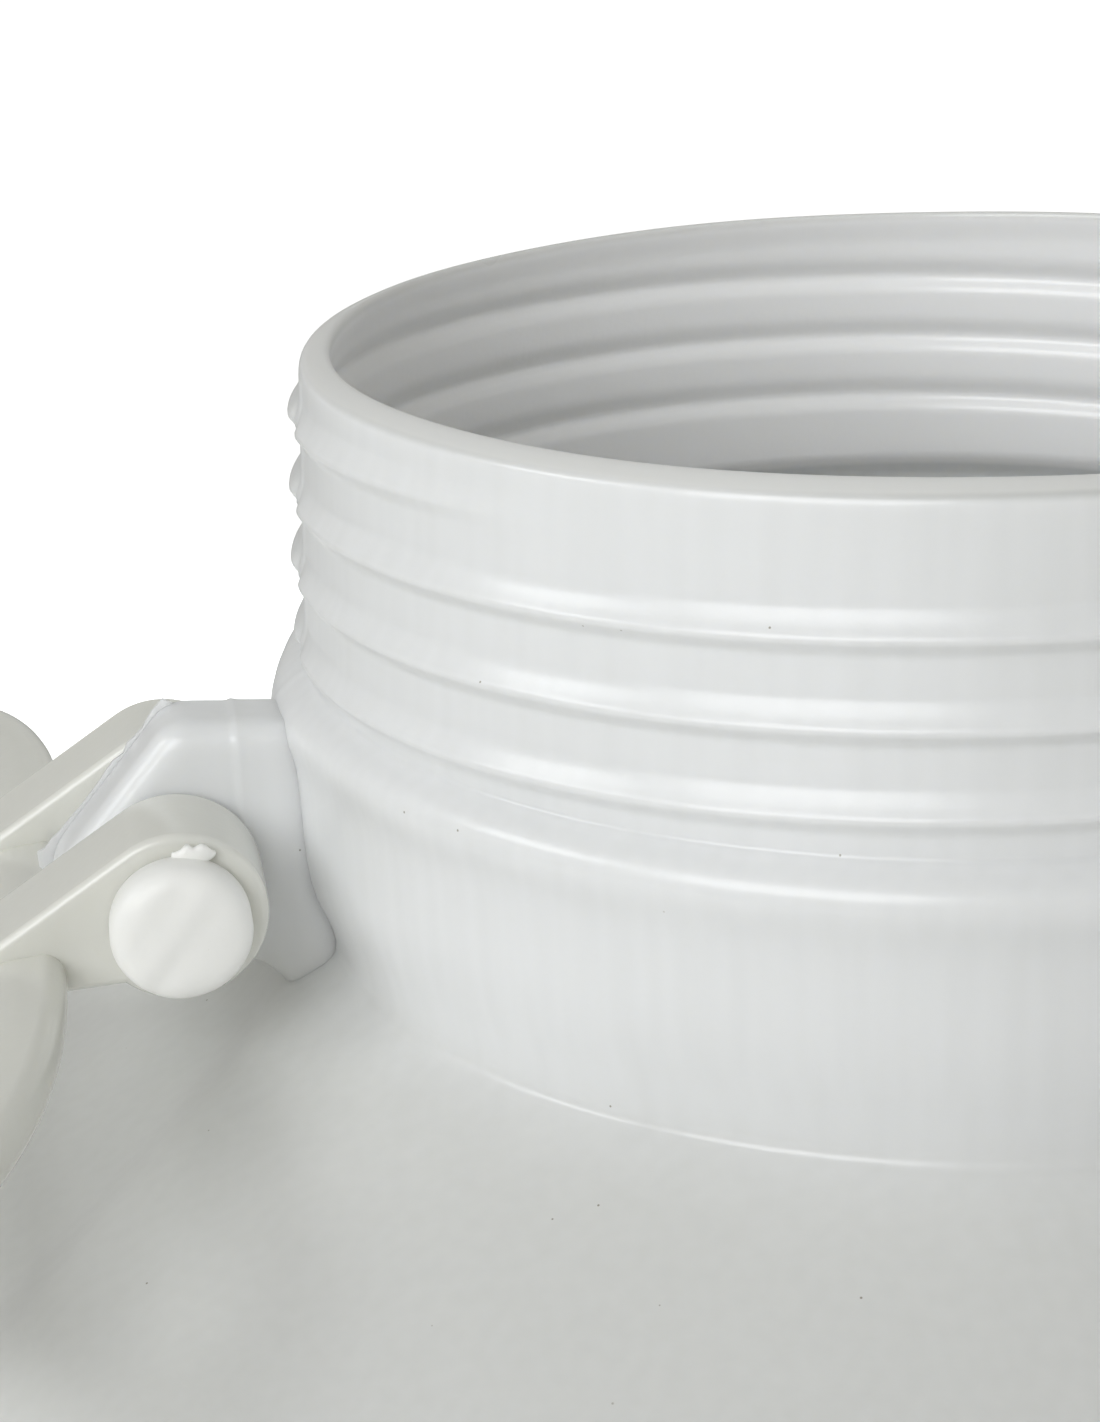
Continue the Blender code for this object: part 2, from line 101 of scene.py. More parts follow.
camera_data = bpy.data.cameras.new("camera")
camera_data.lens = CAMERA_LENS
camera_data.sensor_width = 36
camera_data.clip_start = 0.01
camera = bpy.data.objects.new("camera", camera_data)
bpy.context.scene.collection.objects.link(camera)
turn = Matrix.Rotation(CAMERA_YAW, 4, "Z")
turn = turn @ Matrix.Rotation(math.pi / 2 - CAMERA_PITCH, 4, "X")
turn = turn @ Matrix.Rotation(CAMERA_ROLL, 4, "Z")
camera.matrix_world = Matrix.Translation(CAMERA_PLACE) @ turn
bpy.context.scene.camera = camera
print("camera at", [round(value, 3) for value in camera.matrix_world.translation])

# %% [markdown]
# Three small helpers do the drawing. A chain is one vertex that is extruded from point to
# point, as by hand with E and a typed distance. A chain can be spun into a turned skin or
# filled into a face and pulled into a plate. Turned profiles need rounds, so arcs and soft
# curves are worked out as points first.

# %% Helpers for drawing with extrude
def draw_chain(name, points, closed=False):
    """Extrude one vertex along the points, and leave the chain open in edit mode."""
    bpy.ops.object.select_all(action="DESELECT")
    bpy.ops.mesh.primitive_plane_add(size=0.002, location=(0, 0, 0))
    piece = bpy.context.object
    piece.name = name
    piece.data.name = name
    bpy.ops.object.mode_set(mode="EDIT")
    bpy.ops.mesh.merge(type="CENTER")
    bpy.ops.transform.translate(value=points[0])
    for before, after in zip(points, points[1:]):
        step = tuple(b - a for a, b in zip(before, after))
        bpy.ops.mesh.extrude_region_move(TRANSFORM_OT_translate={"value": step})
    if closed:
        bpy.ops.mesh.select_all(action="SELECT")
        bpy.ops.mesh.edge_face_add()
    return piece


def arc(centre_radius, centre_depth, size, start, end, steps):
    """Points of a round in a turned profile, angles counted up from outwards."""
    angles = np.linspace(start, end, steps + 1)
    return [(centre_radius + size * math.cos(a), centre_depth - size * math.sin(a))
            for a in angles]


def straight(start, end, steps):
    """Evenly spaced points on a line, without the first one."""
    return [(start[0] + (end[0] - start[0]) * k / steps, start[1] + (end[1] - start[1]) * k / steps)
            for k in range(1, steps + 1)]


def soft_curve(points, steps):
    """A smooth curve through the points, without the first one."""
    made = []
    for k in range(len(points) - 1):
        p0 = np.array(points[max(k - 1, 0)])
        p1, p2 = np.array(points[k]), np.array(points[k + 1])
        p3 = np.array(points[min(k + 2, len(points) - 1)])
        for step in range(1, steps + 1):
            t = step / steps
            place = 0.5 * (2 * p1 + (p2 - p0) * t + (2 * p0 - 5 * p1 + 4 * p2 - p3) * t * t
                           + (3 * p1 - p0 - 3 * p2 + p3) * t ** 3)
            made.append(tuple(place))
    return made


def rise(value):
    """Soft step from 0 to 1, for arrays too."""
    value = np.clip(value, 0.0, 1.0)
    return value * value * (3.0 - 2.0 * value)


def read_points(piece):
    """All vertices of a piece as an array."""
    flat = np.empty(len(piece.data.vertices) * 3)
    piece.data.vertices.foreach_get("co", flat)
    return flat.reshape(-1, 3)


def write_points(piece, points):
    """Put moved vertices back."""
    piece.data.vertices.foreach_set("co", points.ravel())
    piece.data.update()


def activate(piece):
    """Make one piece the only selected and active one."""
    bpy.ops.object.select_all(action="DESELECT")
    piece.select_set(True)
    bpy.context.view_layer.objects.active = piece


def report(piece):
    """Print what a piece measures."""
    low, high = read_points(piece).min(axis=0), read_points(piece).max(axis=0)
    faces = sum(len(face.vertices) - 2 for face in piece.data.polygons)
    print(piece.name, faces, "triangles", np.round(low, 4), np.round(high, 4))

# %% [markdown]
# The drum is blown from a tube of soft plastic against the walls of a split mould. So it is
# a thin shell: whatever the mould presses in outside shows inside too. Its plain form is a
# turned profile. It is drawn once from the middle of the base, up the outside, over the
# lip and down the inside to the middle of the floor, and then spun about the axis.

# %% Profile of the shell
THREAD_TOP = 4 * MM
THREAD_BOTTOM = 47.0 * MM
ROOT_TOP = 100.2 * MM
ROOT_BOTTOM = 102.2 * MM
OUTSIDE_STEPS = 96
INSIDE_STEPS = 48


def cone_depth(radius, below=0.0):
    """Depth of the sloping shoulder at a radius."""
    return NECK_DEPTH + SHOULDER_SLOPE * (radius - NECK_BASE_RADIUS) + below


def in_mm(pairs):
    """Pairs of radius and depth given in millimetres."""
    return [(radius * MM, depth * MM) for radius, depth in pairs]


arc_radius = BODY_RADIUS - SHOULDER_ROUND
arc_reach = arc_radius + SHOULDER_ROUND * math.cos(LEAN)
arc_depth = cone_depth(arc_reach) + SHOULDER_ROUND * math.sin(LEAN)
base_radius = BODY_RADIUS - BASE_ROUND
cone_below = BODY_WALL / math.sin(LEAN)

profile = [(0.0, HEIGHT - BASE_RISE)]
profile += straight(profile[-1], (142 * MM, HEIGHT - BASE_RISE), 4)
profile += soft_curve([profile[-1]] + in_mm([(146, 517.4), (148.4, 519.7), (150.5, 520)]), 2)
profile += straight(profile[-1], (base_radius, HEIGHT), 2)
profile += arc(base_radius, HEIGHT - BASE_ROUND, BASE_ROUND, -math.pi / 2, 0, 10)[1:]
profile += straight(profile[-1], (BODY_RADIUS, arc_depth), 5)
profile += arc(arc_radius, arc_depth, SHOULDER_ROUND, 0, LEAN, 16)[1:]
profile += straight(profile[-1], (107.5 * MM, cone_depth(107.5 * MM)), 24)
profile += soft_curve([profile[-1]] + in_mm([
    (104.2, 92.3), (102.7, 91.1), (102.2, 89.2), (102.9, 84.5), (104.4, 78.0), (105.1, 71.0),
    (105.2, 64.0), (105.6, 58.5), (106.5, 54.8), (106.8, 52.4), (106.2, 50.3), (104.4, 48.6),
    (102.8, 47.6), (102.2, 47.0)]), 2)
profile += straight(profile[-1], (ROOT_TOP, THREAD_TOP), OUTSIDE_STEPS)
profile += soft_curve([profile[-1]] + in_mm([
    (100.15, 2.2), (100.0, 1.0), (99.65, 0.3), (98.9, -0.15), (97.8, -0.65), (96.7, -1.1),
    (95.9, -1.28), (95.3, -1.05), (95.1, -0.4), (95.2, 1.2), (95.8, 4.0)]), 2)
profile += straight(profile[-1], (ROOT_BOTTOM - NECK_WALL, THREAD_BOTTOM), INSIDE_STEPS)
profile += soft_curve([profile[-1]] + in_mm([
    (99.2, 49.2), (101.3, 51.6), (101.9, 54.2), (101.3, 58.0), (100.8, 64.0), (100.7, 72.0),
    (99.6, 79.0), (98.1, 86.0), (97.9, 90.5), (99.4, 94.0), (103.0, 96.0)]), 2)
profile += straight(profile[-1], (arc_reach - 2 * MM, cone_depth(arc_reach - 2 * MM, cone_below)), 8)
profile += arc(arc_radius, arc_depth, SHOULDER_ROUND - BODY_WALL, LEAN, 0, 8)[1:]
profile += straight(profile[-1], (BODY_RADIUS - BODY_WALL, INNER_BASE_DEPTH - 24.6 * MM), 6)
profile += arc(base_radius, INNER_BASE_DEPTH - 24.6 * MM, 24.6 * MM, 0, -math.pi / 2, 5)[1:]
profile += straight(profile[-1], (0.0, INNER_BASE_DEPTH), 5)
print("profile points:", len(profile))

# %% Spin the shell
SHELL_COLUMNS = 300


def spin_profile(name, pairs, columns):
    """Turn a profile of radius and depth into a closed skin about the drum's axis."""
    piece = draw_chain(name, [(radius, 0.0, HEIGHT - depth) for radius, depth in pairs])
    bpy.ops.mesh.select_all(action="SELECT")
    bpy.ops.mesh.spin(steps=columns, angle=2 * math.pi, center=(0, 0, 0), axis=(0, 0, 1))
    bpy.ops.mesh.select_all(action="SELECT")
    bpy.ops.mesh.remove_doubles(threshold=0.01 * MM)
    bpy.ops.mesh.normals_make_consistent(inside=False)
    bpy.ops.object.mode_set(mode="OBJECT")
    bpy.ops.object.shade_smooth()
    return piece


shell = spin_profile("drum_shell", profile, SHELL_COLUMNS)
report(shell)

# %% [markdown]
# The thread is a ridge that climbs the neck to the right, with a gentle upper flank, a thin
# crest and a steeper underside, and it shows inside as a groove. It could be swept as a
# separate worm, but a blown neck has no seam between ridge and wall. So the points of the
# spun skin are pushed out by a rule: each one finds its place along the helix, and the
# rule gives its height. Near the mould's parting line, above the ears, the ridges are
# thinner and the two halves miss each other by a hair.

# %% Thread, parting line, recess and the small faults
PITCH = 11.8 * MM
THREAD_HEIGHT = 2.1 * MM
GROOVE_DEPTH = 1.8 * MM
FIRST_DEPTH = 5.1 * MM
START_TURN, END_TURN, FADE_TURN = 0.11, 3.36, 0.12
UPPER_FLANK, LOWER_FLANK = 0.34, 0.20
RIDGES_IN_VIEW = 5
SEAM_THINNING = 0.6
THINNING_WIDTH = 3.5 * MM
COLUMN_CROWDING = 0.5
SEAM_WIDTH = 1.0 * MM
SEAM_HEIGHT = 0.35 * MM
MISMATCH = 0.35 * MM
EAR_WEB = 2.0 * MM
EAR_WEB_WIDTH = 15 * MM
EAR_WEB_TOP, EAR_WEB_BOTTOM = 46 * MM, 89 * MM
OUT_OF_ROUND = 0.35 * MM
SMALL_LOBES = 0.15 * MM
RIM_TILT = 0.3 * MM
RIM_WAVE = 0.1 * MM
RIM_WAVE_REACH = 30 * MM
RECESS_DEPTH = 6 * MM
RECESS_WALL = 30 * MM
RECESS_HALF_WIDTH = 16 * MM
RECESS_SPREAD = 0.97
RECESS_START, RECESS_END, RECESS_BLEND = 102 * MM, 186 * MM, 22 * MM


def ridge_shape(place):
    """Height of the ridge at a place across it, counted in pitches down from the crest."""
    upper = np.clip(1 + place / UPPER_FLANK, 0, 1) ** 1.45
    lower = np.clip(1 - place / LOWER_FLANK, 0, 1) ** 1.15
    return np.where(place < 0, upper, lower)


def soft_ridge(place):
    """The ridge with its crest and feet rounded by averaging over a small width."""
    offsets = np.linspace(-0.035, 0.035, 7)
    return sum(ridge_shape(place + offset) for offset in offsets) / len(offsets)


def thread_push(angle, depth):
    """Share of the full thread height at an angle and a depth on the neck."""
    total = np.zeros_like(depth)
    for number in range(RIDGES_IN_VIEW):
        turns = number - angle / (2 * np.pi)
        crest = FIRST_DEPTH + PITCH * turns
        strength = rise((turns - START_TURN) / FADE_TURN) * rise((END_TURN - turns) / FADE_TURN)
        total = np.maximum(total, strength * soft_ridge((depth - crest) / PITCH))
    return total


def recess_drop(points, radius):
    """How far the shoulder is pressed down under the handles."""
    half_width = RECESS_HALF_WIDTH + RECESS_SPREAD * (np.abs(points[:, 0]) - NECK_RADIUS)
    inward = (half_width - np.abs(points[:, 1])) / RECESS_WALL
    start = rise((radius - RECESS_START) / RECESS_BLEND)
    fade = rise((RECESS_END - radius) / RECESS_BLEND)
    return RECESS_DEPTH * rise(inward) * start * fade


def shape_shell(piece):
    """Push the spun skin into the moulded form."""
    points = read_points(piece)
    radius = np.hypot(points[:, 0], points[:, 1])
    angle = np.arctan2(points[:, 0], -points[:, 1])
    angle = angle + 0.5 * COLUMN_CROWDING * np.sin(2 * angle)
    depth = HEIGHT - points[:, 2]
    root = np.interp(depth, (THREAD_TOP, THREAD_BOTTOM), (ROOT_TOP, ROOT_BOTTOM))
    on_neck = (depth < NECK_DEPTH) & (radius > 90 * MM) & (radius < 112 * MM)
    outside = on_neck & (radius > root - NECK_WALL / 2)
    inside = on_neck & ~outside
    from_seam = np.abs(np.abs(angle) - np.pi / 2)
    arc_from_seam = from_seam * NECK_RADIUS
    thinning = 1 - SEAM_THINNING * np.exp(-(arc_from_seam / THINNING_WIDTH) ** 2)
    back_half = np.abs(angle) > np.pi / 2
    shifted = depth + np.where(back_half, MISMATCH, -MISMATCH)
    push = thread_push(angle, shifted)
    radius = radius + np.where(outside, THREAD_HEIGHT * push * thinning, 0)
    radius = radius + np.where(inside, GROOVE_DEPTH * thread_push(angle, depth), 0)
    seam = np.exp(-(arc_from_seam / SEAM_WIDTH) ** 2)
    outer_skin = outside | (radius > BODY_RADIUS - 1.5 * MM)
    radius = radius + np.where(outer_skin & (depth > 1 * MM), SEAM_HEIGHT * seam, 0)
    web = rise((depth - EAR_WEB_TOP) / (10 * MM)) * rise((EAR_WEB_BOTTOM - depth) / (9 * MM))
    web = web * EAR_WEB * np.exp(-(arc_from_seam / EAR_WEB_WIDTH) ** 2)
    radius = radius + np.where(on_neck, web, 0)
    roundness = OUT_OF_ROUND * np.sin(2 * angle + 0.7) + SMALL_LOBES * np.sin(5 * angle + 1.1)
    radius = radius + np.where(on_neck, roundness, 0)
    moved = np.column_stack((radius * np.sin(angle), -radius * np.cos(angle), points[:, 2]))
    low = depth < 200 * MM
    moved[:, 2] -= np.where(low, recess_drop(moved, radius), 0)
    near_rim = np.clip(1 - depth / RIM_WAVE_REACH, 0, 1)
    wave = -RIM_TILT * np.cos(angle + 0.3) + RIM_WAVE * np.sin(7 * angle + 0.4)
    moved[:, 2] -= np.where(on_neck, near_rim * wave, 0)
    write_points(piece, moved)


shape_shell(shell)
activate(shell)
bpy.ops.object.mode_set(mode="EDIT")
bpy.ops.mesh.select_all(action="SELECT")
bpy.ops.mesh.normals_make_consistent(inside=False)
bpy.ops.object.mode_set(mode="OBJECT")
report(shell)

# %% [markdown]
# Where the blown tube was cut off at the mouth, a few crumbs of flash are left on the inner
# edge of the lip. They are small, but they catch the light. Each is a little ball, pressed
# flat and drawn out along the lip.

# %% Crumbs of flash on the lip
FLASH_PLACES = ((-37.0, 1.6), (-34.5, 0.9), (-53.5, 1.0), (-62.0, 1.2), (-24.0, 0.7))
FLASH_RADIUS = 95.7 * MM
FLASH_HEIGHT = HEIGHT + 1.05 * MM


def lip_crumb(number, degrees, length):
    """One crumb of flash lying on the lip's inner edge."""
    bpy.ops.object.select_all(action="DESELECT")
    bpy.ops.mesh.primitive_uv_sphere_add(segments=12, ring_count=8, radius=0.5 * MM)
    crumb = bpy.context.object
    crumb.name = f"lip_crumb_{number}"
    bpy.ops.object.mode_set(mode="EDIT")
    bpy.ops.transform.resize(value=(length * 2, 1.1, 0.75))
    a = math.radians(degrees)
    bpy.ops.transform.rotate(value=-a, orient_axis="Z", center_override=(0, 0, 0))
    place = (FLASH_RADIUS * math.sin(a), -FLASH_RADIUS * math.cos(a), FLASH_HEIGHT)
    bpy.ops.transform.translate(value=place)
    bpy.ops.object.mode_set(mode="OBJECT")
    bpy.ops.object.shade_smooth()
    return crumb


crumbs = [lip_crumb(k, degrees, length) for k, (degrees, length) in enumerate(FLASH_PLACES)]
bpy.ops.object.select_all(action="DESELECT")
for crumb in crumbs:
    crumb.select_set(True)
bpy.context.view_layer.objects.active = crumbs[0]
bpy.ops.object.join()
lip_flash = bpy.context.object
lip_flash.name = "lip_flash"
report(lip_flash)

# %% [markdown]
# The ears are solid lumps where the mould pinched the plastic shut. Seen from the side an
# ear has a flat top, a steep outer slope and a heel round the pin. Its outline is drawn as
# a chain, filled, pulled to the ear's thickness and its rims rounded with a bevel. A thin
# fin of flash stands along the middle of the slope, where the two mould halves met, and
# a second, fainter line runs round the ear near its root. Beside the neck the ear runs down
# to the shoulder as a web, so no gap opens between the two.

# %% Ears with their flash
EAR_HALF = 12.5 * MM
EAR_OUTLINE = (
    (-1.1, 23.5), (19.0, 0.3), (18.9, -12.0), (15.0, -16.0), (0.0, -16.0), (-9.0, -16.0),
    (-15.0, -20.0), (-19.0, -28.0), (-25.0, -28.0), (-25.0, -13.0), (-22.5, -6.0), (-22.5, 21.5),
)
EAR_SEAM = -11.2 * MM
EAR_SEAM_HEIGHT = 0.3 * MM
EAR_ROOT_PROUD = 0.15 * MM
EAR_ROUNDING = 3.6 * MM
FAR_HALF_DROP = 0.42
FAR_DROP_START, FAR_DROP_BLEND = -4 * MM, 8 * MM


def pull_plate(name, outline, near, far, rounding, segments, corners_too=True):
    """Fill an outline in X and Z, pull it along Y and round its rims, and its corners too."""
    piece = draw_chain(name, [(x, near, z) for x, z in outline], closed=True)
    bpy.ops.mesh.extrude_region_move(TRANSFORM_OT_translate={"value": (0, far - near, 0)})
    bpy.ops.mesh.select_all(action="SELECT")
    bpy.ops.mesh.normals_make_consistent(inside=False)
    bpy.ops.object.mode_set(mode="OBJECT")
    if rounding:
        bpy.ops.object.mode_set(mode="EDIT")
        bpy.ops.mesh.select_mode(type="EDGE")
        bpy.ops.mesh.select_all(action="DESELECT")
        bpy.ops.object.mode_set(mode="OBJECT")
        mesh = piece.data
        for edge in mesh.edges:
            a, b = (mesh.vertices[index].co for index in edge.vertices)
            edge.select = corners_too or abs(a.y - b.y) < 1e-6
        bpy.ops.object.mode_set(mode="EDIT")
        bpy.ops.mesh.bevel(offset=rounding, segments=segments, profile=0.5)
        bpy.ops.mesh.select_mode(type="VERT")
        bpy.ops.object.mode_set(mode="OBJECT")
    return piece


def apply_modifier(piece, kind, **values):
    """Add a modifier, set it and apply it."""
    activate(piece)
    step = piece.modifiers.new(kind.title(), kind)
    for key, value in values.items():
        setattr(step, key, value)
    bpy.ops.object.modifier_apply(modifier=step.name)


def soften(piece, voxel, repeats):
    """Melt overlapping closed shapes into one skin with soft edges."""
    apply_modifier(piece, "REMESH", mode="VOXEL", voxel_size=voxel)
    apply_modifier(piece, "SMOOTH", factor=0.5, iterations=repeats)
    bpy.ops.object.shade_smooth()


def join(pieces, name):
    """Join pieces into the first one."""
    bpy.ops.object.select_all(action="DESELECT")
    for piece in pieces:
        piece.select_set(True)
    bpy.context.view_layer.objects.active = pieces[0]
    bpy.ops.object.join()
    joined = bpy.context.object
    joined.name = name
    return joined


def ear_fin():
    """The ragged fin of flash down the middle of the ear's slope."""
    top, tip = np.array((-3.0, 22.4)), np.array((19.3, 0.3))
    corner = np.array((-1.1, 23.5))
    ragged = np.random.default_rng(7)
    line = [corner + (tip - corner) * t for t in np.linspace(0, 1, 18)]
    outward = np.array((0.756, 0.655))
    outline = [tuple(top * MM)]
    for place in line:
        outline.append(tuple((place + outward * ragged.uniform(0.15, 0.75)) * MM))
    outline.append((21.0 * MM, 0.2 * MM))
    outline.append((20.9 * MM, -2.2 * MM))
    outline.append((18.6 * MM, -4.6 * MM))
    outline.append((12.0 * MM, 2.0 * MM))
    outline.append((-4.0 * MM, 19.0 * MM))
    return pull_plate("ear_fin", outline, -0.35 * MM, 0.35 * MM, 0, 0)


def raise_ear_seam(body):
    """A fine line round the ear near its root, where the root stands a hair proud."""
    points = read_points(body)
    normals = np.empty(len(body.data.vertices) * 3)
    body.data.vertices.foreach_get("normal", normals)
    from_seam = points[:, 0] - EAR_SEAM
    line = EAR_SEAM_HEIGHT * np.exp(-(from_seam / (0.55 * MM)) ** 2)
    proud = EAR_ROOT_PROUD * rise(0.5 - from_seam / (1.0 * MM))
    write_points(body, points + normals.reshape(-1, 3) * (line + proud)[:, None])


def drop_far_half(piece):
    """Let the back half of the ear fall away from the parting line, as its mould half does."""
    points = read_points(piece)
    behind = np.clip(-points[:, 1], 0, None)
    upper = rise((points[:, 2] - FAR_DROP_START) / FAR_DROP_BLEND)
    points[:, 2] -= FAR_HALF_DROP * behind * upper
    write_points(piece, points)


def ear_piece():
    """One ear in its own frame, with the pin's axis at the origin."""
    outline = [(x * MM, z * MM) for x, z in EAR_OUTLINE]
    body = pull_plate("ear_body", outline, -EAR_HALF, EAR_HALF, EAR_ROUNDING, 4)
    soften(body, 0.6 * MM, 3)
    raise_ear_seam(body)
    drop_far_half(body)
    fin = ear_fin()
    bpy.ops.object.shade_smooth_by_angle(angle=math.radians(40))
    return join([body, fin], "ear_right")


def put_on_hinge(piece, side):
    """Move a piece from the hinge's own frame to the right or left of the drum."""
    activate(piece)
    bpy.ops.object.mode_set(mode="EDIT")
    bpy.ops.mesh.select_all(action="SELECT")
    bpy.ops.transform.translate(value=(PIN_REACH, 0, PIN_HEIGHT))
    if side == "left":
        bpy.ops.transform.rotate(value=math.pi, orient_axis="Z", center_override=(0, 0, 0))
    bpy.ops.object.mode_set(mode="OBJECT")
    report(piece)


def copy_for(piece, name):
    """A copy with its own mesh."""
    activate(piece)
    bpy.ops.object.duplicate()
    twin = bpy.context.object
    twin.name = name
    twin.data.name = name
    return twin


def both_sides(piece, stem):
    """Put a piece on the right hinge and a copy of it on the left one."""
    twin = copy_for(piece, stem + "_left")
    piece.name = stem + "_right"
    put_on_hinge(piece, "right")
    put_on_hinge(twin, "left")
    return {"right": piece, "left": twin}


ears = both_sides(ear_piece(), "ear")

# %% [markdown]
# Each handle is one moulded piece: two arms with round eyes for the pin, and a flat loop
# that the hand grips. The loop starts as a torus whose rings are moved onto a path of two
# straight bars and two half ellipses. The arms are outlines pulled into plates, bevelled
# finely so that their edges catch a thin line of light, and united with the loop by a
# Boolean. A voxel remesh would give softer joints, but it would blur those edges.

# %% Handles
ARM_INNER = 13 * MM
ARM_THICKNESS = 18 * MM
BOSS_RADIUS = 13.3 * MM
ARM_FALL = math.radians(32.5)
LOOP_START = 17.5 * MM
LOOP_DROP = 6.4 * MM
LOOP_TILT = math.radians(12)
LOOP_HALF_WIDTH = 104 * MM
LOOP_STRAIGHT_HALF = 38 * MM
LOOP_DEPTH = 64 * MM
BAR_WIDTH = 15 * MM
BAR_THICKNESS = 9 * MM
GRIP_THICKNESS = 14 * MM
NOTCH_REACH = 19.7 * MM
LOOP_RINGS = 160
SECTION_POINTS = 40
RIM_START, RIM_BLEND = 0.66, 0.10
RIM_DENT = 0.45 * MM
SIDE_FULLNESS, TOP_FULLNESS = 0.92, 0.72
ARM_REACH = 29 * MM
ARM_ROUNDING = 1.3 * MM
BORE_RADIUS = 6 * MM


def loop_line():
    """Places round the loop's middle line: two straight bars and two half ellipses."""
    half = BAR_WIDTH / 2
    near, far = half, LOOP_DEPTH - half
    end_half, end_reach = (far - near) / 2, LOOP_HALF_WIDTH - half - LOOP_STRAIGHT_HALF
    sides = np.linspace(0, LOOP_STRAIGHT_HALF, 40)
    turn_angles = np.linspace(0, np.pi, 200)[1:]
    xs = np.concatenate((np.full(40, near), (near + far) / 2 - end_half * np.cos(turn_angles),
                         np.full(39, far)))
    ys = np.concatenate((sides, LOOP_STRAIGHT_HALF + end_reach * np.sin(turn_angles),
                         sides[::-1][1:]))
    xs, ys = np.concatenate((xs, xs[::-1][1:])), np.concatenate((ys, -ys[::-1][1:]))
    gone = np.concatenate(((0,), np.cumsum(np.hypot(np.diff(xs), np.diff(ys)))))
    wanted = gone[-1] * np.arange(LOOP_RINGS) / LOOP_RINGS
    return np.column_stack((np.interp(wanted, gone, xs), np.interp(wanted, gone, ys)))


def loop_piece():
    """The gripping loop, flat with a fine rolled rim and a thicker grip side."""
    bpy.ops.object.select_all(action="DESELECT")
    bpy.ops.mesh.primitive_torus_add(major_segments=LOOP_RINGS, minor_segments=SECTION_POINTS,
                                     major_radius=1.0, minor_radius=0.25)
    piece = bpy.context.object
    piece.name = "loop"
    start = read_points(piece)
    ring = np.rint(np.arctan2(start[:, 1], start[:, 0]) / (2 * np.pi) * LOOP_RINGS)
    ring = ring.astype(int) % LOOP_RINGS
    corner = np.arctan2(start[:, 2], np.hypot(start[:, 0], start[:, 1]) - 1.0)
    line = loop_line()
    ahead = np.roll(line, -1, axis=0) - np.roll(line, 1, axis=0)
    ahead /= np.linalg.norm(ahead, axis=1)[:, None]
    outward = np.column_stack((-ahead[:, 1], ahead[:, 0]))
    grip = rise((line[ring, 0] / LOOP_DEPTH - 0.4) / 0.4)
    half_height = (BAR_THICKNESS + (GRIP_THICKNESS - BAR_THICKNESS) * grip) / 2
    across = np.sign(np.cos(corner)) * np.abs(np.cos(corner)) ** SIDE_FULLNESS
    up = np.sign(np.sin(corner)) * np.abs(np.sin(corner)) ** TOP_FULLNESS
    dent = RIM_DENT * np.sign(up) * rise((RIM_START - np.abs(across)) / RIM_BLEND)
    flat = line[ring] + outward[ring] * (across * BAR_WIDTH / 2)[:, None]
    moved = np.column_stack((flat, up * half_height - dent))
    tilt = np.array(Matrix.Rotation(LOOP_TILT, 3, "Y"))
    write_points(piece, moved @ tilt.T + np.array((LOOP_START, 0, -LOOP_DROP)))
    return piece


def arm_outline():
    """A round eye with an arm that leaves its top and falls to the loop."""
    angles = np.linspace(math.pi / 2 - ARM_FALL, 2 * math.pi - math.radians(48), 72)
    outline = [(BOSS_RADIUS * math.cos(a), BOSS_RADIUS * math.sin(a)) for a in angles]
    top = outline[0][1] - (ARM_REACH - outline[0][0]) * math.tan(ARM_FALL)
    outline += [(18 * MM, -10.3 * MM), (ARM_REACH, -11.2 * MM), (ARM_REACH, top)]
    return outline


def handle_piece():
    """Loop and arms united into one piece, with the notch and the bore cut."""
    handle = loop_piece()
    tidy_normals(handle)
    cut_box(handle)
    for sign in (-1, 1):
        near, far = sorted((sign * ARM_INNER, sign * (ARM_INNER + ARM_THICKNESS)))
        arm = pull_plate("arm", arm_outline(), near, far, ARM_ROUNDING, 4, corners_too=False)
        tidy_normals(arm)
        apply_modifier(handle, "BOOLEAN", operation="UNION", object=arm)
        bpy.data.objects.remove(arm, do_unlink=True)
    cut_round(handle, BORE_RADIUS)
    bpy.ops.object.mode_set(mode="EDIT")
    bpy.ops.mesh.select_all(action="SELECT")
    bpy.ops.mesh.remove_doubles(threshold=0.01 * MM)
    bpy.ops.mesh.normals_make_consistent(inside=False)
    bpy.ops.object.mode_set(mode="OBJECT")
    return handle


def tidy_normals(piece):
    """Turn all faces of a closed piece outwards."""
    activate(piece)
    bpy.ops.object.mode_set(mode="EDIT")
    bpy.ops.mesh.select_all(action="SELECT")
    bpy.ops.mesh.normals_make_consistent(inside=False)
    bpy.ops.object.mode_set(mode="OBJECT")


def cut_round(piece, radius):
    """Bore a round hole along the hinge's axis."""
    bpy.ops.object.select_all(action="DESELECT")
    bpy.ops.mesh.primitive_cylinder_add(vertices=48, radius=radius, depth=0.1)
    cutter = bpy.context.object
    bpy.ops.object.mode_set(mode="EDIT")
    bpy.ops.transform.rotate(value=math.pi / 2, orient_axis="X", center_override=(0, 0, 0))
    bpy.ops.object.mode_set(mode="OBJECT")
    apply_modifier(piece, "BOOLEAN", operation="DIFFERENCE", object=cutter)
    bpy.data.objects.remove(cutter, do_unlink=True)


def cut_box(piece):
    """Notch the loop where the ear's end stands between the arms."""
    bpy.ops.object.select_all(action="DESELECT")
    bpy.ops.mesh.primitive_cube_add(size=1)
    cutter = bpy.context.object
    bpy.ops.object.mode_set(mode="EDIT")
    bpy.ops.transform.resize(value=(12 * MM, 2 * ARM_INNER - 0.2 * MM, 36 * MM))
    bpy.ops.transform.translate(value=(NOTCH_REACH - 6 * MM, 0, -LOOP_DROP))
    bpy.ops.object.mode_set(mode="OBJECT")
    apply_modifier(piece, "BOOLEAN", operation="DIFFERENCE", object=cutter)
    bpy.data.objects.remove(cutter, do_unlink=True)


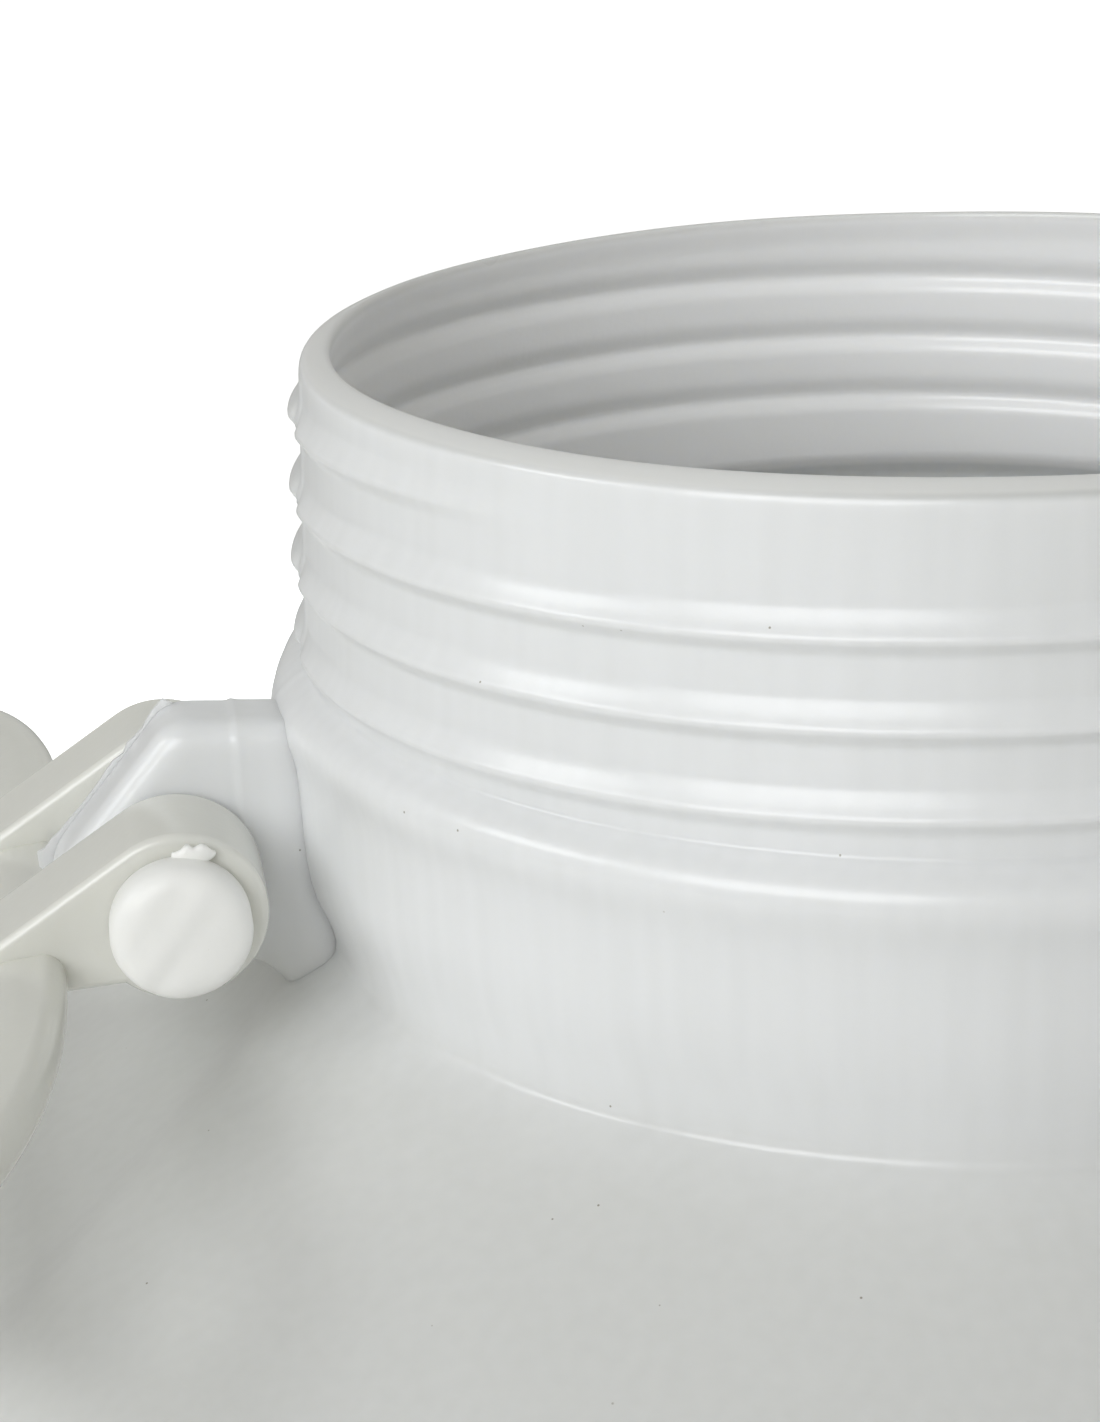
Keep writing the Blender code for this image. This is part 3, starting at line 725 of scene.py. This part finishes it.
handles = both_sides(handle_piece(), "grip")
for piece in handles.values():
    activate(piece)
    bpy.ops.object.shade_smooth_by_angle(angle=math.radians(45))
    apply_modifier(piece, "WEIGHTED_NORMAL", keep_sharp=True)

# %% [markdown]
# The hinge pins are turned shapes too: a slightly domed head as thick as a finger is wide,
# a shaft and a smaller snap end. The head's rim is well rounded and its face is a little
# uneven, as a thick lump of plastic sinks while it cools.

# %% Hinge pins
HEAD_RADIUS = 10.5 * MM
FACE = ARM_INNER + ARM_THICKNESS + 0.3 * MM
HEAD_THICKNESS = 8 * MM
PIN_COLUMNS = 72


def pin_piece():
    """One pin along Y, head towards +Y."""
    crown = FACE + HEAD_THICKNESS
    line = [(0.0, crown), (1.5 * MM, crown), (3 * MM, crown - 0.05 * MM),
            (4.5 * MM, crown - 0.13 * MM), (6 * MM, crown - 0.27 * MM),
            (7 * MM, crown - 0.42 * MM), (8 * MM, crown - 0.65 * MM),
            (9.3 * MM, crown - 1.2 * MM), (10.1 * MM, crown - 2.1 * MM),
            (HEAD_RADIUS, crown - 3.3 * MM), (HEAD_RADIUS, FACE + 0.8 * MM),
            (10.1 * MM, FACE + 0.1 * MM), (5.5 * MM, FACE), (5.5 * MM, -FACE),
            (7.2 * MM, -FACE), (7.6 * MM, -FACE - 0.6 * MM), (7.0 * MM, -FACE - 2.5 * MM),
            (5.6 * MM, -FACE - 4.6 * MM), (4.6 * MM, -FACE - 5 * MM), (0.0, -FACE - 5 * MM)]
    piece = draw_chain("pin", [(radius, along, 0.0) for radius, along in line])
    bpy.ops.mesh.select_all(action="SELECT")
    bpy.ops.mesh.spin(steps=PIN_COLUMNS, angle=2 * math.pi, center=(0, 0, 0), axis=(0, 1, 0))
    bpy.ops.mesh.select_all(action="SELECT")
    bpy.ops.mesh.remove_doubles(threshold=0.01 * MM)
    bpy.ops.mesh.normals_make_consistent(inside=False)
    bpy.ops.object.mode_set(mode="OBJECT")
    bpy.ops.object.shade_smooth_by_angle(angle=math.radians(45))
    sink_head(piece)
    return join([piece, pin_chip()], "pin_head")


def sink_head(piece):
    """Low hollows and swells on the head's face."""
    points = read_points(piece)
    on_head = rise((points[:, 1] - FACE - 4 * MM) / (3 * MM))
    swell = np.sin(points[:, 0] * 420 + 1.0) * np.cos(points[:, 2] * 510 - 0.6)
    swell = swell + 0.5 * np.sin(points[:, 0] * 900 + points[:, 2] * 700)
    points[:, 1] += 0.16 * MM * swell * on_head
    write_points(piece, points)


def pin_chip():
    """A flake of flash that stands between the head's upper rim and the eye."""
    bpy.ops.object.select_all(action="DESELECT")
    bpy.ops.mesh.primitive_uv_sphere_add(segments=20, ring_count=10, radius=1 * MM)
    chip = bpy.context.object
    chip.name = "pin_chip"
    bpy.ops.object.mode_set(mode="EDIT")
    bpy.ops.transform.resize(value=(3.3, 0.8, 1.5))
    bpy.ops.transform.translate(value=(-2.8 * MM, FACE + 0.9 * MM, 10.5 * MM))
    bpy.ops.object.mode_set(mode="OBJECT")
    points = read_points(chip)
    points[:, 2] += 0.35 * MM * np.sin(points[:, 0] * 2600) * (points[:, 2] > 10.5 * MM)
    write_points(chip, points)
    bpy.ops.object.shade_smooth()
    return chip


pins = both_sides(pin_piece(), "pin_head")

# %% [markdown]
# Natural polyethylene is milky: light goes a few millimetres into it and comes out soft, so
# thick parts look warm and full and thin rims look clear. The same small effects show on
# every piece, so they are one node group: a slow mottle in the tone, fine streaks where
# the tube was drawn down, specks of dirt, and a very fine orange-peel grain.

# %% Node group for moulded polyethylene
def add_node(tree, kind, place, **values):
    """Add a node and set its plain values."""
    node = tree.nodes.new(kind)
    node.location = place
    for key, value in values.items():
        setattr(node, key, value)
    return node


def add_noise(tree, place, scale, detail, source):
    """A noise texture laid in the given coordinates."""
    noise = add_node(tree, "ShaderNodeTexNoise", place)
    noise.inputs["Scale"].default_value = scale
    noise.inputs["Detail"].default_value = detail
    tree.links.new(source, noise.inputs["Vector"])
    return noise


def add_range(tree, place, start, end, source):
    """A value that goes from 0 to 1 while the source goes from start to end."""
    spread = add_node(tree, "ShaderNodeMapRange", place)
    spread.inputs["From Min"].default_value = start
    spread.inputs["From Max"].default_value = end
    tree.links.new(source, spread.inputs["Value"])
    return spread


def moulded_group():
    """Colour, roughness and height of moulded plastic, from object coordinates."""
    group = bpy.data.node_groups.new("moulded_plastic", "ShaderNodeTree")
    face = group.interface
    for name, kind, value in (("Clear colour", "NodeSocketColor", (0.8, 0.8, 0.8, 1)),
                              ("Milky colour", "NodeSocketColor", (0.9, 0.9, 0.9, 1)),
                              ("Speck colour", "NodeSocketColor", (0.35, 0.33, 0.28, 1)),
                              ("Streaks", "NodeSocketFloat", 0.5),
                              ("Specks", "NodeSocketFloat", 1.0),
                              ("Base roughness", "NodeSocketFloat", 0.4)):
        socket = face.new_socket(name, in_out="INPUT", socket_type=kind)
        socket.default_value = value
    for name, kind in (("Colour", "NodeSocketColor"), ("Roughness", "NodeSocketFloat"),
                       ("Height", "NodeSocketFloat")):
        face.new_socket(name, in_out="OUTPUT", socket_type=kind)
    link = group.links.new
    inputs = add_node(group, "NodeGroupInput", (-900, 0))
    outputs = add_node(group, "NodeGroupOutput", (900, 0))
    place = add_node(group, "ShaderNodeTexCoord", (-900, -300))
    stretch = add_node(group, "ShaderNodeMapping", (-700, -300))
    stretch.inputs["Scale"].default_value = (1, 1, 0.03)
    link(place.outputs["Object"], stretch.inputs["Vector"])
    mottle = add_noise(group, (-500, 200), 14, 1, place.outputs["Object"])
    streak = add_noise(group, (-500, -100), 420, 0, stretch.outputs["Vector"])
    streak_part = add_node(group, "ShaderNodeMath", (-300, -100), operation="MULTIPLY")
    link(streak.outputs["Fac"], streak_part.inputs[0])
    link(inputs.outputs["Streaks"], streak_part.inputs[1])
    tone = add_node(group, "ShaderNodeMath", (-100, 100), operation="ADD")
    link(mottle.outputs["Fac"], tone.inputs[0])
    link(streak_part.outputs[0], tone.inputs[1])
    spread = add_range(group, (50, 100), 0.35, 1.0, tone.outputs[0])
    blend = add_node(group, "ShaderNodeMix", (250, 200), data_type="RGBA")
    link(spread.outputs["Result"], blend.inputs["Factor"])
    link(inputs.outputs["Clear colour"], blend.inputs["A"])
    link(inputs.outputs["Milky colour"], blend.inputs["B"])
    dirt = add_node(group, "ShaderNodeTexVoronoi", (-500, -400))
    dirt.inputs["Scale"].default_value = 160
    link(place.outputs["Object"], dirt.inputs["Vector"])
    rare = add_noise(group, (-500, -700), 60, 0, place.outputs["Object"])
    dot = add_range(group, (-300, -400), 0.035, 0.02, dirt.outputs["Distance"])
    choose = add_range(group, (-300, -700), 0.56, 0.6, rare.outputs["Fac"])
    both = add_node(group, "ShaderNodeMath", (-100, -500), operation="MULTIPLY")
    link(dot.outputs["Result"], both.inputs[0])
    link(choose.outputs["Result"], both.inputs[1])
    amount = add_node(group, "ShaderNodeMath", (50, -500), operation="MULTIPLY")
    link(both.outputs[0], amount.inputs[0])
    link(inputs.outputs["Specks"], amount.inputs[1])
    dotted = add_node(group, "ShaderNodeMix", (450, 100), data_type="RGBA")
    link(amount.outputs[0], dotted.inputs["Factor"])
    link(blend.outputs["Result"], dotted.inputs["A"])
    link(inputs.outputs["Speck colour"], dotted.inputs["B"])
    link(dotted.outputs["Result"], outputs.inputs["Colour"])
    peel = add_noise(group, (-100, -250), 900, 1, place.outputs["Object"])
    rough_part = add_node(group, "ShaderNodeMath", (250, -200), operation="MULTIPLY_ADD")
    rough_part.inputs[1].default_value = 0.12
    link(mottle.outputs["Fac"], rough_part.inputs[0])
    link(inputs.outputs["Base roughness"], rough_part.inputs[2])
    link(rough_part.outputs[0], outputs.inputs["Roughness"])
    height = add_node(group, "ShaderNodeMath", (250, -350), operation="ADD")
    link(peel.outputs["Fac"], height.inputs[0])
    link(streak_part.outputs[0], height.inputs[1])
    link(height.outputs[0], outputs.inputs["Height"])
    return group


MOULDED = moulded_group()
print("group inputs:", [item.name for item in MOULDED.interface.items_tree])

# %% [markdown]
# Three plastics share the group. The drum is satin, the handles are glossier and a little
# yellow, and the pins are the whitest. On the drum three tones are painted into the colour:
# the wide thin wall below the neck is darkened as painted shade, standing in for the dimmer
# light on the shoulder and the dark inside that shows through the thin wall; the neck's inner
# skin is paled as painted light, standing in for light that comes through from behind; and the
# lip's top is a little greyer. These tones follow the drum's own coordinates.

# %% Materials for the drum, the handles and the pins
COAT_ROUGHNESS = 0.18


def polyethylene(name, clear, milky, roughness, streaks, specks, milkiness, depth, bump, gloss):
    """A translucent plastic built round the moulded group."""
    material = bpy.data.materials.new(name)
    material.use_nodes = True
    tree = material.node_tree
    shader = tree.nodes["Principled BSDF"]
    group = add_node(tree, "ShaderNodeGroup", (-500, 0), node_tree=MOULDED)
    group.inputs["Clear colour"].default_value = (*clear, 1)
    group.inputs["Milky colour"].default_value = (*milky, 1)
    group.inputs["Streaks"].default_value = streaks
    group.inputs["Specks"].default_value = specks
    group.inputs["Base roughness"].default_value = roughness
    grain = add_node(tree, "ShaderNodeBump", (-250, -300))
    grain.inputs["Strength"].default_value = bump
    grain.inputs["Distance"].default_value = 0.1 * MM
    tree.links.new(group.outputs["Colour"], shader.inputs["Base Color"])
    tree.links.new(group.outputs["Roughness"], shader.inputs["Roughness"])
    tree.links.new(group.outputs["Height"], grain.inputs["Height"])
    tree.links.new(grain.outputs["Normal"], shader.inputs["Normal"])
    shader.inputs["IOR"].default_value = 1.52
    shader.inputs["Coat Weight"].default_value = gloss
    shader.inputs["Coat Roughness"].default_value = COAT_ROUGHNESS
    shader.inputs["Subsurface Weight"].default_value = milkiness
    shader.inputs["Subsurface Radius"].default_value = (1.0, 0.97, 0.9)
    shader.inputs["Subsurface Scale"].default_value = depth
    return material


NECK_BASE_HEIGHT = HEIGHT - NECK_DEPTH
INNER_SKIN = 98.6 * MM
# Tone of the painted shade below the neck.
BELOW_NECK_SHADE_TONE = (0.9, 0.895, 0.87)
# Tone of the painted light on the neck's inner skin.
INNER_SKIN_LIGHT_TONE = (0.97, 0.975, 0.975)
LIP_TONE = (0.84, 0.84, 0.825)


def soft_mask(tree, source, start, end, row):
    """A mask that rises from 0 to 1 while the source goes from start to end."""
    mask = add_node(tree, "ShaderNodeMapRange", (-500, row), interpolation_type="SMOOTHSTEP")
    mask.inputs["From Min"].default_value = start
    mask.inputs["From Max"].default_value = end
    tree.links.new(source, mask.inputs["Value"])
    return mask.outputs["Result"]


def tint(tree, colour, mask, tone, kind, row):
    """Blend a tone into a colour where the mask is 1."""
    blend = add_node(tree, "ShaderNodeMix", (-200, row), data_type="RGBA", blend_type=kind)
    blend.inputs["B"].default_value = (*tone, 1)
    tree.links.new(mask, blend.inputs["Factor"])
    tree.links.new(colour, blend.inputs["A"])
    return blend.outputs["Result"]


def paint_shade_and_light(material):
    """Paint shade on the wall below the neck and light on the neck's inner skin, and grey the lip's
    top a little.
    """
    tree = material.node_tree
    shader = tree.nodes["Principled BSDF"]
    colour = shader.inputs["Base Color"].links[0].from_socket
    place = add_node(tree, "ShaderNodeTexCoord", (-1100, 600))
    split = add_node(tree, "ShaderNodeSeparateXYZ", (-900, 500))
    flat = add_node(tree, "ShaderNodeVectorMath", (-900, 750), operation="MULTIPLY")
    flat.inputs[1].default_value = (1, 1, 0)
    radius = add_node(tree, "ShaderNodeVectorMath", (-700, 750), operation="LENGTH")
    tree.links.new(place.outputs["Object"], split.inputs["Vector"])
    tree.links.new(place.outputs["Object"], flat.inputs[0])
    tree.links.new(flat.outputs["Vector"], radius.inputs[0])
    depth, across = split.outputs["Z"], radius.outputs["Value"]
    # Painted shade: everything below the neck base is darkened, standing in for the dimmer light on
    # the shoulder and the dark inside seen through the thin wall.
    below = soft_mask(tree, depth, NECK_BASE_HEIGHT + 8 * MM, NECK_BASE_HEIGHT - 6 * MM, 400)
    # Painted light: the neck's inner skin is paled, standing in for light that comes through the
    # wall from behind.
    inside = soft_mask(tree, across, INNER_SKIN + 1 * MM, INNER_SKIN, 650)
    # The lip's top is made a little greyer.
    lip = soft_mask(tree, depth, HEIGHT - 0.8 * MM, HEIGHT + 0.4 * MM, 900)
    colour = tint(tree, colour, below, BELOW_NECK_SHADE_TONE, "MULTIPLY", 400)
    colour = tint(tree, colour, inside, INNER_SKIN_LIGHT_TONE, "MIX", 650)
    colour = tint(tree, colour, lip, LIP_TONE, "MULTIPLY", 900)
    tree.links.new(colour, shader.inputs["Base Color"])


DRUM_PLASTIC = polyethylene(
    "drum_polyethylene", clear=(0.775, 0.785, 0.785), milky=(0.845, 0.855, 0.86),
    roughness=0.24, streaks=0.35, specks=1.0, milkiness=0.45, depth=6 * MM, bump=0.25, gloss=0.35)
HANDLE_PLASTIC = polyethylene(
    "handle_polyethylene", clear=(0.74, 0.74, 0.69), milky=(0.81, 0.81, 0.755),
    roughness=0.14, streaks=0.1, specks=0.6, milkiness=0.4, depth=6 * MM, bump=0.15, gloss=0.5)
PIN_PLASTIC = polyethylene(
    "pin_polyethylene", clear=(0.95, 0.95, 0.915), milky=(0.99, 0.99, 0.965),
    roughness=0.34, streaks=0.1, specks=0.5, milkiness=0.15, depth=2 * MM, bump=0.3, gloss=0.0)
paint_shade_and_light(DRUM_PLASTIC)


def dress(piece, material):
    """Give a piece its one material."""
    piece.data.materials.clear()
    piece.data.materials.append(material)


for piece in (shell, lip_flash, ears["right"], ears["left"]):
    dress(piece, DRUM_PLASTIC)
for piece in handles.values():
    dress(piece, HANDLE_PLASTIC)
for piece in pins.values():
    dress(piece, PIN_PLASTIC)

# %% [markdown]
# Every piece is now hung on the body that carries it, and the solid under it is hidden, so
# that the handles and their pins swing together and the rest stays with the drum.

# %% Fasten the pieces to the frame
for piece in (shell, lip_flash, ears["right"], ears["left"]):
    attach(piece, "drum")
    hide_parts("drum")
for side in ("right", "left"):
    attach(handles[side], "handle_" + side)
    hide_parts("handle_" + side)
    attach(pins[side], "handle_" + side)
    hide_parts("pin_" + side)

# %% [markdown]
# The photo's background is plain white. A white floor that is lit like the drum would come
# out grey, so the floor glows a little, only for the camera's own rays. A large soft light
# stands at the front left, as a window would, a small one at the left gives the ridges their
# highlights, and one behind shines through the neck's wall. The pale room fills the rest.

# %% Floor, light and room
ROOM_STRENGTH = 0.44
FLOOR_GLOW = 0.8
LIT_POINT = (0, 0, 0.48)


def stage_floor():
    """A wide pale floor that the camera sees as white."""
    bpy.ops.object.select_all(action="DESELECT")
    bpy.ops.mesh.primitive_plane_add(size=30)
    floor = bpy.context.object
    floor.name = "floor"
    material = bpy.data.materials.new("pale_floor")
    material.use_nodes = True
    tree = material.node_tree
    shader = tree.nodes["Principled BSDF"]
    shader.inputs["Base Color"].default_value = (0.86, 0.86, 0.85, 1)
    shader.inputs["Roughness"].default_value = 0.8
    shader.inputs["Emission Color"].default_value = (1, 1, 1, 1)
    path = add_node(tree, "ShaderNodeLightPath", (-600, -200))
    glow = add_node(tree, "ShaderNodeMath", (-300, -200), operation="MULTIPLY")
    glow.inputs[1].default_value = FLOOR_GLOW
    tree.links.new(path.outputs["Is Camera Ray"], glow.inputs[0])
    tree.links.new(glow.outputs[0], shader.inputs["Emission Strength"])
    dress(floor, material)


def soft_light(name, place, size, power, colour, in_gloss=True):
    """An area light that faces the neck, seen in glossy surfaces or not."""
    data = bpy.data.lights.new(name, "AREA")
    data.shape = "RECTANGLE"
    data.size, data.size_y = size
    data.energy = power
    data.color = colour
    light = bpy.data.objects.new(name, data)
    bpy.context.scene.collection.objects.link(light)
    light.location = place
    light.visible_glossy = in_gloss
    aim = Vector(LIT_POINT) - Vector(place)
    light.rotation_euler = aim.to_track_quat("-Z", "Y").to_euler()


def pale_room():
    """Warm ambient light that comes from the walls more than from above."""
    world = bpy.data.worlds.new("pale_room")
    bpy.context.scene.world = world
    world.use_nodes = True
    tree = world.node_tree
    sky = tree.nodes["Background"]
    sky.inputs["Strength"].default_value = ROOM_STRENGTH
    place = add_node(tree, "ShaderNodeTexCoord", (-800, 0))
    split = add_node(tree, "ShaderNodeSeparateXYZ", (-600, 0))
    upwards = add_node(tree, "ShaderNodeMapRange", (-400, 0), interpolation_type="SMOOTHSTEP")
    blend = add_node(tree, "ShaderNodeMix", (-200, 0), data_type="RGBA")
    blend.inputs["A"].default_value = (1.0, 0.985, 0.94, 1)
    blend.inputs["B"].default_value = (0.66, 0.66, 0.63, 1)
    tree.links.new(place.outputs["Generated"], split.inputs["Vector"])
    tree.links.new(split.outputs["Z"], upwards.inputs["Value"])
    tree.links.new(upwards.outputs["Result"], blend.inputs["Factor"])
    tree.links.new(blend.outputs["Result"], sky.inputs["Color"])


stage_floor()
soft_light("side_window", place=(-1.68, -0.15, 1.37), size=(0.8, 0.5), power=5.5,
           colour=(0.96, 0.985, 1.0))
soft_light("front_window", place=(-0.98, -1.2, 1.22), size=(1.2, 1.0), power=13.5,
           colour=(0.97, 0.985, 1.0))
soft_light("back_window", place=(0.45, 1.5, 0.66), size=(1.1, 0.8), power=15,
           colour=(0.93, 0.97, 1.0), in_gloss=False)
pale_room()
bpy.context.scene.view_settings.view_transform = "Standard"
